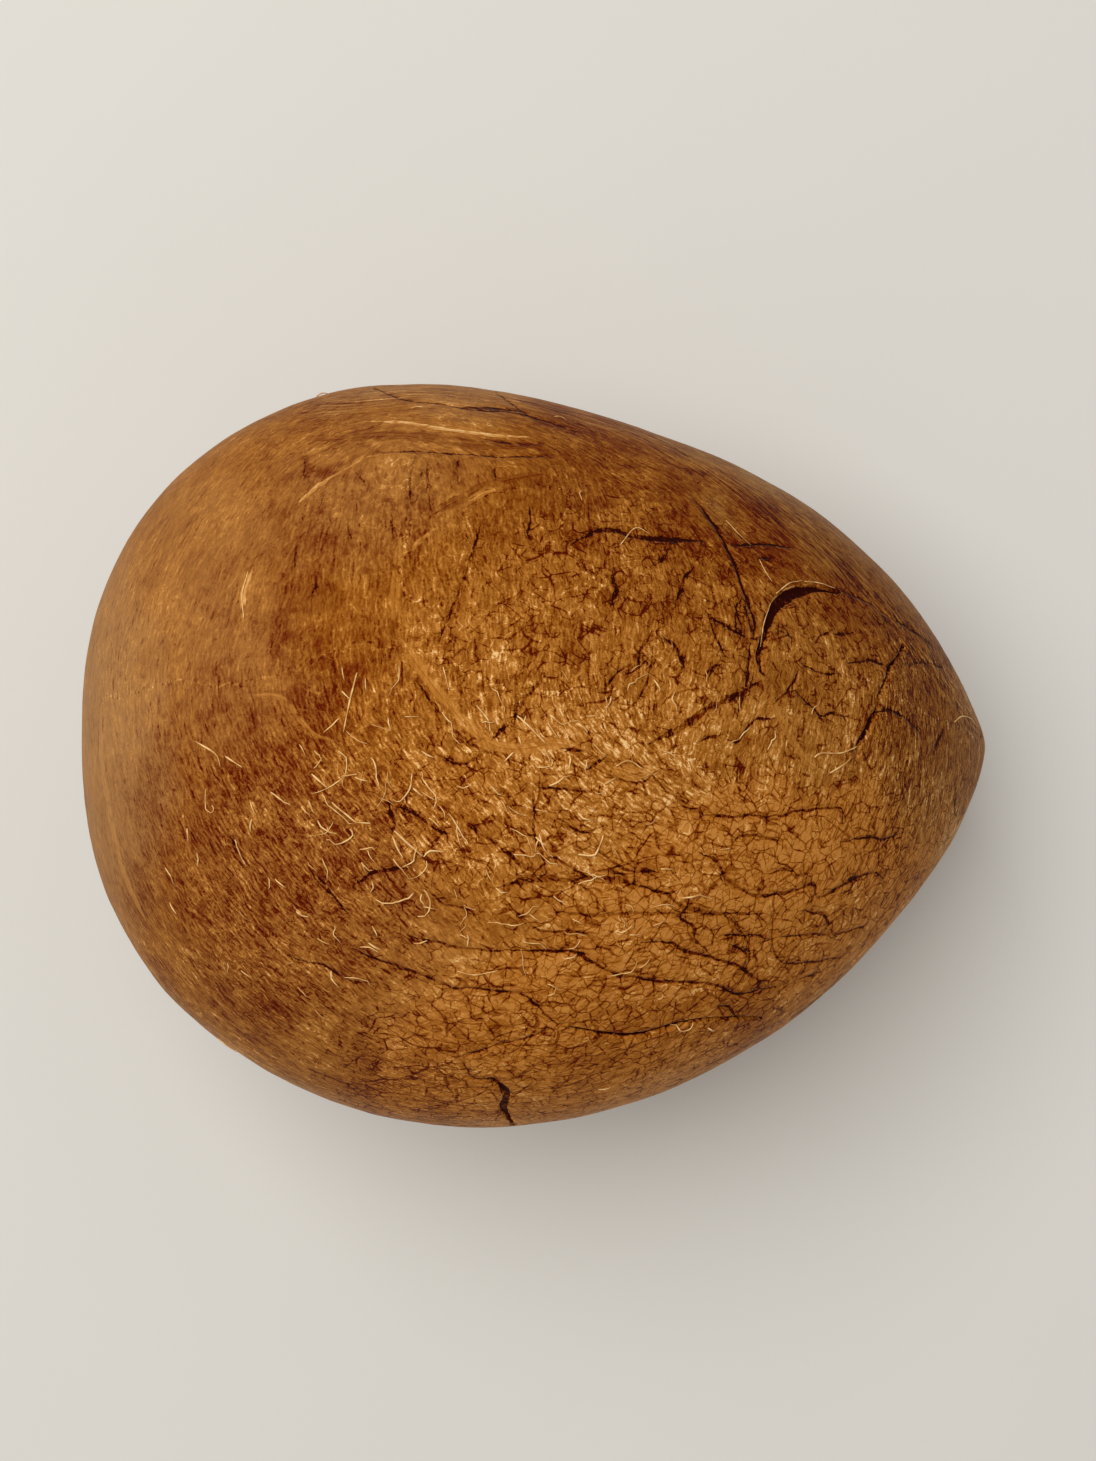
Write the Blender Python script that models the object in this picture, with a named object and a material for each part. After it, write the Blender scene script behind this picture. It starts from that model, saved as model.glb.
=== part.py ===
"""A shelled coconut: the whole kernel in its brown skin, lying on its side on a small flat spot.

Metres, +Z up. The pointed end looks along +X, the blunt end along -X, and the origin is the
middle of the underside, level with the flat spot that the kernel rests on.
"""

import math

import bmesh
import bpy
import numpy as np
from mathutils import Matrix, Vector

# ---- driving dimensions ------------------------------------------------------------------

KERNEL_LENGTH = 0.110  # blunt end to tip
HEIGHT_RATIO = 0.97  # how much flatter the kernel is top to bottom than side to side

# Each flank's outline is exp(fullness) * (1 + u) ** blunt * (1 - u) ** point * exp(swell),
# in half lengths from the long axis, with u running from -1 at the blunt end to +1 at the tip.
# A blunt power below a half squares that end off, and a point power above a half sharpens the tip.
LEFT_FLANK = {"fullness": -0.322, "blunt": 0.416, "point": 0.75, "swell": (0.033, 0.206, 0.302)}
RIGHT_FLANK = {"fullness": -0.233, "blunt": 0.484, "point": 0.75, "swell": (0.074, -0.034, 0.121)}

RIDGE_COUNT = 3  # a coconut grows from three carpels, whose seams leave soft ridges
RIDGE_RISE = 0.014  # height of a ridge over the mean radius, as a fraction of it
FIRST_RIDGE = math.radians(25.0)  # round from +Y towards the top

REST_PITCH = math.radians(12.0)  # where its centre of mass is lowest, with the tip hanging down
FLAT_DEPTH = 0.0007  # how much of the underside the resting spot takes off

SPHERE_SUBDIVISIONS = 5
SKIN_COLOR = (0.33, 0.145, 0.042, 1.0)
SKIN_ROUGHNESS = 0.55


# ---- shape -------------------------------------------------------------------------------


def flank_radius(flank, u):
    """Distance of one flank from the long axis at station u, in half lengths."""
    first, second, third = flank["swell"]
    swell = (first * u + second * u**2 + third * u**3) * (1.0 - u * u)
    taper = (1.0 + u) ** flank["blunt"] * (1.0 - u) ** flank["point"]
    return math.exp(flank["fullness"] + swell) * taper


def kernel_point(direction):
    """The surface point of the kernel, in its own axes, that a unit sphere's point moves to."""
    u = max(-1.0, min(1.0, direction.x))
    angle = math.atan2(direction.z, direction.y)
    left_share = 0.5 + 0.5 * math.cos(angle)
    radius = left_share * flank_radius(LEFT_FLANK, u) + (1.0 - left_share) * flank_radius(RIGHT_FLANK, u)
    radius *= 1.0 + RIDGE_RISE * math.cos(RIDGE_COUNT * (angle - FIRST_RIDGE))
    half_length = KERNEL_LENGTH / 2
    return Vector(
        (
            half_length * u,
            half_length * radius * math.cos(angle),
            half_length * radius * math.sin(angle) * HEIGHT_RATIO,
        )
    )


def shape_kernel():
    """A round ball of triangles, moved to the kernel's shape and turned as it comes to rest."""
    kernel = bmesh.new()
    poles_on_x = Matrix.Rotation(math.pi / 2, 4, "Y")
    bmesh.ops.create_icosphere(kernel, subdivisions=SPHERE_SUBDIVISIONS, radius=1.0, matrix=poles_on_x)
    resting = Matrix.Rotation(REST_PITCH, 3, "Y")
    for vert in kernel.verts:
        vert.co = resting @ kernel_point(vert.co.normalized())
    return kernel


def cut_resting_spot(kernel):
    """Slices off the lowest part of the underside and closes the cut with one flat face."""
    lowest = min(vert.co.z for vert in kernel.verts)
    cut = bmesh.ops.bisect_plane(
        kernel,
        geom=kernel.verts[:] + kernel.edges[:] + kernel.faces[:],
        plane_co=(0.0, 0.0, lowest + FLAT_DEPTH),
        plane_no=(0.0, 0.0, -1.0),
        clear_outer=True,
    )
    rim = [item for item in cut["geom_cut"] if isinstance(item, bmesh.types.BMEdge)]
    bmesh.ops.edgeloop_fill(kernel, edges=rim)
    bmesh.ops.recalc_face_normals(kernel, faces=kernel.faces[:])


def stand_on_origin(kernel):
    """Moves the kernel so that the origin is the bottom centre of its box."""
    corners = np.array([vert.co[:] for vert in kernel.verts])
    low, high = corners.min(axis=0), corners.max(axis=0)
    shift = Vector((-(low[0] + high[0]) / 2, -(low[1] + high[1]) / 2, -low[2]))
    bmesh.ops.translate(kernel, verts=kernel.verts[:], vec=shift)


# ---- finish and scene --------------------------------------------------------------------


def skin_material():
    material = bpy.data.materials.new("brown_skin")
    material.use_nodes = True
    shader = material.node_tree.nodes["Principled BSDF"]
    shader.inputs["Base Color"].default_value = SKIN_COLOR
    shader.inputs["Roughness"].default_value = SKIN_ROUGHNESS
    shader.inputs["Metallic"].default_value = 0.0
    return material


def clear_scene():
    for obj in list(bpy.data.objects):
        bpy.data.objects.remove(obj, do_unlink=True)


def make_kernel(collection):
    shape = shape_kernel()
    cut_resting_spot(shape)
    stand_on_origin(shape)
    mesh = bpy.data.meshes.new("coconut_kernel")
    shape.to_mesh(mesh)
    shape.free()
    mesh.shade_smooth()
    mesh.set_sharp_from_angle(angle=math.radians(25.0))
    mesh.materials.append(skin_material())
    collection.objects.link(bpy.data.objects.new("coconut_kernel", mesh))


def main():
    clear_scene()
    collection = bpy.data.collections.new("coconut")
    bpy.context.scene.collection.children.link(collection)
    make_kernel(collection)


main()
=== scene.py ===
"""A shelled coconut: its veined brown skin, the pale hairs that cling to it, and a plain stage."""

import math
import random

import bmesh
import bpy
import numpy as np
from bpy.props import FloatProperty, FloatVectorProperty, IntProperty, PointerProperty
from mathutils import Matrix, Vector, noise
from mathutils.bvhtree import BVHTree
from mathutils.kdtree import KDTree


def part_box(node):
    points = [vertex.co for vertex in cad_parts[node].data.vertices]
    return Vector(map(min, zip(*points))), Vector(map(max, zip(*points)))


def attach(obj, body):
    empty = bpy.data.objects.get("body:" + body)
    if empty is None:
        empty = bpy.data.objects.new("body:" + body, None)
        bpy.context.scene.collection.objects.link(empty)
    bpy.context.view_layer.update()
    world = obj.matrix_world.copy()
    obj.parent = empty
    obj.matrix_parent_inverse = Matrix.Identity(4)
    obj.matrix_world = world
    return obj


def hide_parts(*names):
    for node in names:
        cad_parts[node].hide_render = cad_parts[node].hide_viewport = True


bl_info = {
    "name": "Shelled Coconut",
    "version": (1, 0, 0),
    "blender": (4, 5, 0),
    "location": "View3D > Sidebar > Coconut",
    "description": "Builds a shelled coconut in its veined brown skin, and a stage to show it on",
    "category": "Add Mesh",
}

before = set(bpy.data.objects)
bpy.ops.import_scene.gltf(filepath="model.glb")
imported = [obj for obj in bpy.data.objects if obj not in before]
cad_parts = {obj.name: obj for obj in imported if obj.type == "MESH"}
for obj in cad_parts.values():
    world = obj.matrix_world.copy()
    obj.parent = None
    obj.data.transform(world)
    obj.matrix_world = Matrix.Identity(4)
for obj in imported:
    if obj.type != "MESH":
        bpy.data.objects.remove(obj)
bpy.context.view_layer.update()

MM = 0.001
NODE = "coconut_kernel"
BODY = "root"

# ---- the kernel's outline, which the solid shares ----------------------------------------

LEFT_FLANK = {"fullness": -0.322, "blunt": 0.416, "point": 0.75, "swell": (0.033, 0.206, 0.302)}
RIGHT_FLANK = {"fullness": -0.233, "blunt": 0.484, "point": 0.75, "swell": (0.074, -0.034, 0.121)}
HEIGHT_RATIO = 0.97
RIDGE_COUNT = 3
RIDGE_RISE = 0.014
FIRST_RIDGE = math.radians(25.0)
REST_PITCH = math.radians(12.0)
FLAT_DEPTH = 0.0007

# ---- how finely the skin is cut, and what is scattered over it ---------------------------

SKIN_CUTS = 95  # across each side of the cube that the skin is wrapped on
OUTLINE_CUTS = 60  # across the coarser cube that only the outline's box is read from
MARK_REACH = 0.6 * MM  # faces this near to a vein or a split are cut finer
RIFT_REACH = 1.1 * MM  # and those this near to a split once more
HIDDEN_VEINS = 70
VEIN_SEED = 7
HAIR_SEED = 4
KINKS = (-0.9, -0.2, 0.0, 0.0, 0.2, 0.8)  # the turns that a wandering line takes, in radians
WHOLE_VALUES = ("loop_start", "loop_total", "vertex_index")  # a mesh's whole-numbered values

# ---- what is drawn on the upper side -----------------------------------------------------
# Points are (x, y) in millimetres as the kernel is seen from above, from the eye's place, on
# the level plane through the middle of its long axis: +x towards the tip, +y towards the ridge.

EYE = Vector((-0.65, 2.0, 242.8)) * MM  # from the middle of the long axis

# A vein is (full width in mm, darkness, its points). Darkness runs from 0.2, faint, to 1, black.
VEINS = [
    (0.75, 0.62, [(2.6, 24.5), (6.2, 26.0), (10.4, 25.1), (17.6, 24.7)]),
    (0.5, 0.95, [(16.9, 29.6), (17.6, 28.8), (19.7, 25.8), (21.8, 21.6), (23.3, 17.3), (24.1, 15.1),
                 (24.0, 13.3)]),
    (0.35, 0.8, [(21.8, 24.1), (25.1, 24.2), (28.4, 23.8)]),
    (0.3, 0.8, [(34.3, 18.7), (37.6, 17.3), (40.3, 15.5), (42.4, 14.3), (45.4, 12.1)]),
    (0.3, 0.8, [(35.2, 10.0), (37.8, 10.3), (39.6, 9.7)]),
    (0.5, 0.85, [(38.7, 4.1), (40.3, 4.4), (42.0, 3.5)]),
    (0.3, 0.7, [(42.0, 3.5), (43.1, 2.4), (44.3, 1.2)]),
    (0.4, 0.45, [(42.6, 9.9), (44.6, 10.1), (46.6, 9.5)]),
    (0.9, 0.85, [(46.5, 1.7), (46.0, 0.7), (45.6, -0.4)]),
    (0.3, 0.9, [(29.8, 10.0), (32.0, 8.9), (33.7, 8.8)]),
    (0.35, 0.95, [(29.2, 6.7), (31.0, 4.9), (32.2, 3.8), (33.6, 4.1), (35.2, 3.7)]),
    (0.35, 0.85, [(29.4, 9.1), (28.4, 7.1), (26.6, 5.5)]),
    (0.75, 0.6, [(24.4, 7.7), (22.6, 6.6), (19.6, 5.2), (16.8, 3.4), (14.4, 1.9), (11.6, 0.4)]),
    (0.42, 0.9, [(23.6, 11.9), (23.2, 8.2), (22.6, 6.1), (22.1, 4.0)]),
    (0.35, 0.7, [(18.7, 15.7), (22.8, 13.3)]),
    (0.35, 0.7, [(18.7, 15.7), (19.6, 13.0), (20.4, 11.2)]),
    (0.5, 0.9, [(13.4, 13.0), (14.6, 12.1), (15.4, 10.3), (15.8, 9.5)]),
    (0.5, 0.8, [(17.8, -12.7), (19.6, -13.7), (20.8, -15.7), (22.3, -17.0), (24.7, -17.8), (28.3, -17.3),
                (31.0, -16.3), (31.6, -17.9), (34.3, -16.6), (36.1, -15.6), (38.6, -15.1), (39.8, -16.3)]),
    (0.45, 0.7, [(10.4, -16.6), (13.4, -17.6), (15.6, -19.1), (18.4, -20.0), (22.3, -20.0), (24.7, -19.9)]),
    (0.45, 0.6, [(15.6, -19.1), (20.4, -20.3), (22.9, -21.8)]),
    (0.35, 0.9, [(20.4, -22.6), (24.4, -22.6), (25.2, -22.9)]),
    (0.35, 0.9, [(27.4, -22.8), (31.9, -22.4), (33.5, -22.8)]),
    (0.45, 0.95, [(30.1, -19.6), (32.2, -20.0), (32.9, -21.2), (32.3, -22.3)]),
    (0.4, 0.9, [(-5.9, -24.2), (-2.9, -24.4), (2.8, -24.6), (4.1, -25.4), (7.1, -27.1), (12.5, -28.1),
                (18.8, -28.4), (21.6, -29.4), (22.9, -29.4), (27.4, -28.4)]),
    (0.4, 0.9, [(11.0, -23.5), (14.0, -23.5), (15.8, -24.4), (20.4, -25.7), (22.3, -26.3), (24.6, -28.0)]),
    (0.45, 1.0, [(19.8, -31.0), (21.1, -31.1), (21.7, -32.2)]),
    (0.35, 0.85, [(-12.4, -28.7), (-5.4, -29.3), (-2.9, -30.1), (-0.1, -32.8), (1.9, -33.0)]),
    (0.35, 0.8, [(-11.0, -37.1), (-6.8, -35.6), (-3.2, -34.8), (-0.8, -33.8)]),
    (0.35, 0.8, [(-11.0, -37.4), (-9.6, -39.5), (-7.4, -39.7)]),
    (0.45, 0.7, [(-21.4, 43.0), (-17.6, 41.5), (-13.2, 41.0), (-9.6, 40.3), (-4.4, 40.0), (2.6, 37.9)]),
    (0.9, 0.8, [(-11.2, 40.6), (-7.5, 40.6), (-4.0, 40.2)]),
    (0.9, 0.2, [(-8.2, 36.7), (-4.4, 36.3), (-1.0, 36.3)]),
    (0.9, 0.9, [(-21.4, 42.9), (-20.7, 42.8)]),
    (0.3, 0.6, [(-20.8, 35.2), (-14.8, 35.4), (-5.9, 34.7), (-0.6, 34.9)]),
    (0.35, 0.9, [(17.8, -8.2), (23.5, -8.3), (27.6, -8.2), (29.5, -7.6), (34.1, -7.3), (34.6, -9.0)]),
    (0.3, 0.75, [(21.6, -11.5), (22.4, -10.6), (24.0, -10.6), (27.1, -11.2)]),
    (0.3, 0.9, [(25.8, -15.1), (27.0, -14.7), (28.2, -14.7), (28.9, -15.1)]),
    (0.3, 0.85, [(23.5, -21.9), (23.5, -25.4), (23.2, -26.5), (24.4, -27.8)]),
    (0.35, 0.9, [(14.6, -20.0), (16.8, -21.6), (17.0, -22.9), (18.2, -24.2)]),
    (0.3, 0.7, [(26.4, -20.1), (26.4, -24.3), (27.6, -25.9)]),
    (0.3, 0.85, [(34.6, -11.3), (37.9, -10.8), (39.3, -11.1), (41.6, -10.2)]),
    (0.3, 0.85, [(32.9, -21.7), (34.3, -22.3), (37.2, -21.5)]),
    (0.35, 0.85, [(27.6, -25.9), (30.3, -25.8), (34.3, -25.2)]),
    (0.3, 0.8, [(29.1, -27.8), (31.5, -27.0)]),
    (0.3, 0.8, [(21.4, -23.7), (23.4, -24.9)]),
    (0.6, 0.75, [(7.1, 20.9), (7.4, 18.9), (7.1, 17.5)]),
    (0.35, 0.7, [(13.6, 23.3), (12.8, 22.3), (12.4, 22.0)]),
    (0.4, 0.75, [(16.6, 21.4), (15.7, 20.3), (15.4, 18.9), (14.8, 17.7)]),
    (0.3, 0.8, [(22.6, 17.7), (22.0, 16.5), (22.6, 14.3)]),
    (0.3, 0.7, [(10.4, 11.5), (9.9, 9.3), (8.6, 8.7)]),
    (0.35, 0.65, [(9.4, 9.9), (7.4, 8.7), (6.2, 6.9)]),
    (0.3, 0.7, [(12.0, 11.7), (11.6, 8.9), (10.4, 6.1)]),
    (0.35, 0.8, [(18.6, 8.1), (19.0, 9.5), (19.8, 9.8)]),
    (0.35, 0.85, [(21.2, 0.8), (22.2, 0.8), (24.0, 3.2), (26.1, 3.4)]),
    (0.3, 0.75, [(17.4, 0.8), (20.0, 1.4)]),
    (0.5, 0.65, [(33.7, 13.5), (35.5, 13.6)]),
    (0.3, 0.75, [(31.3, 12.5), (32.3, 13.5), (33.2, 14.0)]),
    (0.35, 0.7, [(24.9, 22.5), (25.7, 22.6)]),
    (0.3, 0.7, [(26.9, 14.1), (28.5, 13.3), (28.5, 12.1)]),
    (0.3, 0.7, [(-13.2, -1.1), (-12.0, -1.9), (-10.4, -1.9), (-8.4, -0.9)]),
    (0.4, 0.75, [(-2.4, -5.2), (-2.2, -8.4), (-2.2, -10.6), (-1.4, -12.9), (-0.9, -15.0)]),
    (0.35, 0.8, [(1.1, -8.9), (2.9, -10.0), (4.1, -10.2), (5.7, -9.6)]),
    (0.35, 0.7, [(-18.2, -7.3), (-16.0, -8.4), (-14.2, -9.8), (-12.8, -10.2)]),
    (0.3, 0.7, [(-19.6, -7.1), (-19.0, -9.0), (-19.4, -10.4)]),
    (0.3, 0.7, [(-2.0, -4.9), (0.7, -5.0), (3.9, -5.2)]),
    (0.35, 0.75, [(0.3, -13.2), (3.1, -15.0), (4.7, -15.8)]),
    (0.35, 0.65, [(-4.4, 5.5), (-2.8, 6.5), (-1.1, 8.3)]),
    (0.25, 0.65, [(-4.4, 5.5), (-4.7, 3.1)]),
    (0.35, 0.8, [(-7.0, 1.3), (-5.6, 2.5)]),
    (0.35, 0.85, [(6.1, -1.3), (4.3, -2.5)]),
    (0.5, 0.8, [(1.5, -0.2), (3.1, -0.5)]),
    (0.4, 0.6, [(-16.2, 7.8), (-13.2, 3.7), (-10.2, 0.6), (-7.0, -1.0)]),
    (0.25, 0.6, [(6.8, -3.7), (9.0, -4.1), (10.9, -4.0)]),
    (0.22, 0.5, [(6.4, -1.6), (8.8, -1.8), (10.8, -2.4)]),
    (0.25, 0.40, [(-16.7, 34.5), (-17.2, 32.0), (-17.0, 29.5)]),
    (0.28, 0.45, [(-15.0, 34.0), (-15.1, 31.2), (-14.7, 28.6)]),
    (0.25, 0.40, [(-11.4, 34.5), (-11.5, 33.2), (-11.4, 31.8)]),
    (0.25, 0.45, [(-6.9, 33.8), (-7.0, 32.2)]),
    (0.22, 0.35, [(-29.7, 34.5), (-29.8, 32.4)]),
    (0.38, 0.70, [(-2.9, 28.6), (-2.8, 27.0), (-3.2, 25.5)]),
    (0.30, 0.50, [(-8.8, 26.2), (-9.8, 22.8), (-10.6, 20.4), (-12.0, 17.0), (-13.5, 12.9)]),
    (0.8, 0.45, [(-6.5, -16.8), (-3.6, -16.0), (-0.9, -15.7), (2.2, -15.9), (5.3, -15.6), (8.0, -15.9),
                 (10.4, -16.6)]),
    (0.4, 0.50, [(0.6, -19.8), (5.0, -20.1), (10.0, -19.9), (15.4, -19.9)]),
    (0.7, 0.45, [(12.4, -4.0), (14.0, -5.2), (15.8, -6.8), (17.8, -8.0)]),
    (0.5, 0.45, [(-9.8, -9.6), (-7.0, -11.6), (-4.6, -13.4), (-2.6, -15.0)]),
    (0.35, 0.6, [(-31.4, -25.0), (-29.4, -25.8), (-27.4, -26.2), (-24.6, -28.0), (-21.8, -28.3)]),
    (0.35, 0.5, [(-28.4, -15.2), (-26.6, -17.4), (-24.8, -19.4)]),
    (0.6, 0.8, [(-38.4, -11.3), (-38.0, -11.9)]),
    (0.25, 0.38, [(-19.4, 27.3), (-19.2, 25.5)]),
    (0.25, 0.35, [(-24.6, 26.9), (-24.3, 25.1)]),
    (0.25, 0.40, [(-30.8, 23.7), (-31.0, 21.5)]),
    (0.28, 0.40, [(-28.4, 20.6), (-28.5, 19.2), (-29.0, 18.0)]),
    (0.25, 0.42, [(-23.4, 32.7), (-22.6, 31.6)]),
    (0.35, 0.80, [(-6.9, 42.5), (-4.2, 40.5), (-1.5, 38.9)]),
    (0.4, 0.55, [(-23.5, -16.3), (-21.0, -14.8), (-17.9, -14.4)]),
    (0.4, 0.6, [(-16.8, -22.7), (-12.2, -23.7), (-8.1, -24.3), (-5.9, -24.4)]),
    (0.4, 0.6, [(-23.5, -24.3), (-21.5, -25.3), (-15.8, -27.3), (-11.2, -29.2)]),
    (0.3, 0.55, [(-3.9, -20.1), (-1.4, -22.0), (3.3, -22.2), (5.3, -23.7)]),
    (0.3, 0.5, [(5.3, -12.4), (8.4, -14.5), (12.6, -15.0)]),
    (0.3, 0.6, [(-14.8, -17.2), (-13.0, -18.8), (-10.2, -19.4), (-8.8, -21.0)]),
    (0.3, 0.7, [(5.3, -20.1), (5.2, -18.1), (3.3, -16.6)]),
]

# Where the skin has split: (how far its edge has lifted, from 0 to 1, and the split's full width in
# mm at each of its points).
RIFTS = [
    (1.0, [(0.4, (25.0, 9.2)), (0.8, (24.7, 10.8)), (0.6, (25.2, 12.8)), (0.8, (25.8, 14.8)),
           (1.1, (26.6, 16.7)), (1.3, (28.0, 18.0)), (1.0, (29.6, 18.7)), (0.4, (31.4, 18.9)),
           (0.2, (33.8, 18.5))]),
    (0.0, [(0.4, (-7.4, -39.7)), (0.7, (-5.6, -41.4)), (0.8, (-6.0, -43.3)), (0.3, (-4.8, -45.1))]),
    (0.3, [(0.5, (41.9, 12.0)), (0.2, (41.4, 11.0)), (0.4, (40.2, 9.5)), (0.35, (39.8, 8.0)),
           (0.25, (38.9, 6.1)), (0.35, (38.6, 4.3)), (0.6, (38.0, 3.2)), (0.6, (37.5, 1.8)),
           (0.3, (36.5, 0.1)), (0.2, (36.4, -1.4))]),
    (0.0, [(0.25, (1.9, -33.6)), (0.4, (6.5, -34.4)), (0.5, (10.4, -34.4)), (0.4, (16.4, -32.9)),
           (0.3, (21.7, -32.4)), (0.2, (24.7, -32.4))]),
]

# Bands of flattened fibre: (full width in mm, tone, points). Tone runs from 0, black brown, to 1,
# cream.
BANDS = [
    (1.0, 0.60, [(-18.4, 24.8), (-18.9, 18.0), (-18.6, 13.6)]),
    (1.2, 0.68, [(-18.0, 12.6), (-16.6, 10.4), (-14.8, 8.0), (-12.9, 5.6), (-11.5, 4.0)]),
    (1.1, 0.70, [(-12.4, 5.0), (-10.4, 2.8), (-8.6, 1.2), (-6.2, 0.0), (-3.4, -0.1), (-0.4, 0.5),
                 (1.6, 0.3), (3.4, -0.2)]),
    (1.7, 0.74, [(7.0, -2.4), (8.8, -2.9), (10.8, -3.4)]),
    (0.9, 0.68, [(24.4, 11.3), (25.0, 7.7), (26.2, 5.5), (27.8, 2.4), (30.0, -1.2), (32.0, -2.9)]),
    (0.55, 1.0, [(-22.0, 39.0), (-18.1, 38.8), (-13.2, 38.0), (-7.3, 37.3), (-2.8, 37.1)]),
    (1.6, 0.25, [(-27.8, 36.8), (-18.4, 37.2), (-8.8, 36.2), (-1.6, 36.0)]),
    (0.55, 0.88, [(-30.2, 29.6), (-28.6, 31.0), (-26.9, 32.2)]),
    (0.35, 0.80, [(-26.9, 32.2), (-24.6, 33.4), (-22.3, 34.7)]),
    (0.4, 0.66, [(-22.3, 34.7), (-18.0, 35.0), (-14.0, 34.6)]),
    (1.1, 0.24, [(-14.5, 27.8), (-11.9, 29.4), (-7.5, 31.5), (-1.6, 32.7)]),
    (0.45, 0.82, [(-17.2, 23.6), (-15.8, 24.8), (-14.2, 26.0)]),
    (0.5, 0.80, [(-9.8, 29.6), (-8.4, 30.4), (-7.0, 30.8)]),
    (1.4, 0.66, [(-54.2, 3.5), (-53.6, -5.0), (-51.6, -14.4), (-49.0, -20.4)]),
    (0.7, 0.88, [(-36.2, 20.9), (-37.1, 18.5), (-37.2, 15.7)]),
    (0.5, 0.64, [(-36.5, 6.2), (-33.2, 6.1), (-31.9, 5.3), (-28.9, 1.8), (-26.3, 0.7)]),
    (0.5, 0.35, [(24.0, 9.8), (26.0, 8.0), (28.0, 5.6)]),
]

# Pale hairs: (thickness in mm, points).
FIBRES = [
    (0.20, [(31.2, -1.2), (32.0, -0.7), (34.3, -0.7), (36.4, 0.1)]),
    (0.20, [(33.0, -3.1), (34.8, -2.0), (35.6, -1.2)]),
    (0.16, [(47.9, 3.0), (48.8, 3.7), (49.9, 3.4), (50.6, 2.4)]),
    (0.20, [(-23.5, 8.9), (-24.4, 5.3), (-25.1, 1.8)]),
    (0.18, [(-25.3, 6.7), (-24.4, 5.8)]),
    (0.22, [(-42.8, 0.7), (-40.4, -0.8), (-39.8, -2.3)]),
    (0.22, [(-39.2, -1.1), (-37.2, -2.4)]),
    (0.24, [(-19.0, -10.0), (-17.4, -11.5), (-15.7, -13.0)]),
    (0.20, [(-19.2, -10.7), (-18.6, -12.2), (-18.0, -13.2)]),
    (0.20, [(-15.5, -13.1), (-14.8, -12.4), (-13.0, -12.5)]),
    (0.18, [(-16.9, -3.1), (-17.2, -5.0), (-18.4, -6.5), (-19.2, -6.2)]),
    (0.22, [(-16.8, -4.9), (-15.6, -5.9)]),
    (0.20, [(-9.2, 5.0), (-7.8, 3.2), (-7.6, 1.9)]),
    (0.16, [(-13.2, 9.6), (-12.5, 6.8)]),
    (0.20, [(-0.7, 2.9), (0.5, 1.1)]),
    (0.18, [(-4.2, 1.3), (-3.8, 0.1)]),
    (0.20, [(-4.8, -0.6), (-5.9, -1.7)]),
    (0.20, [(3.1, -1.7), (4.1, -2.5)]),
    (0.26, [(6.1, -4.4), (7.4, -3.7)]),
    (0.18, [(-1.7, -10.4), (-1.1, -12.2), (-0.1, -13.1)]),
    (0.24, [(-28.9, -3.2), (-27.1, -4.8)]),
    (0.20, [(-25.4, -3.5), (-23.5, -3.2)]),
    (0.18, [(4.7, 0.5), (5.6, -0.5), (6.2, -1.0)]),
    (0.20, [(7.4, -2.3), (9.0, -1.6), (10.6, -2.6)]),
    (0.16, [(-36.5, 21.0), (-37.2, 18.2), (-37.0, 15.4)]),
    (0.12, [(24.7, 12.0), (25.1, 14.8), (25.9, 17.2)]),
    (0.14, [(26.6, 18.4), (28.2, 19.6), (29.8, 19.9)]),
    (0.12, [(30.0, 19.8), (31.8, 19.6), (33.6, 19.0)]),
    (0.08, [(20.6, 27.1), (22.2, 25.4), (23.6, 24.1)]),
    (0.09, [(24.6, 22.4), (25.3, 21.0), (26.1, 19.8)]),
    (0.14, [(8.0, 24.2), (9.8, 26.2), (11.6, 25.4)]),
]

# The line of the ridge, where the skin is streaked lengthwise.
RIDGE = [
    (-26.0, 41.0), (-13.0, 42.5), (0.0, 40.5), (10.0, 37.5), (22.0, 31.0), (33.0, 23.0), (42.0, 14.0),
    (50.0, 4.0),
]

# Which way the flecks lie: (x, y, reach in mm, direction in degrees from the long axis).
FLOW = [
    (5, 17, 12, 84), (-18, 22, 12, 94), (-42, 24, 14, 78), (-15, 41, 5.5, 3), (-27, 38, 5.5, 24),
    (-4, 40, 5.5, -6), (12, 37, 6, -14), (26, 26, 7, -28), (38, 15, 7, -38), (20, 8, 8, 62),
    (36, 6, 7, 66), (49, -2, 8, 76), (-35, -14, 14, -50), (-22, -30, 12, -46), (-10, -38, 8, -24),
    (-10, -8, 10, -52), (6, -2, 7, -35), (14, -16, 10, -20), (14, -32, 9, 8), (30, -24, 9, 28),
    (38, -10, 8, 58), (-50, -4, 10, -70),
]

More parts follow.
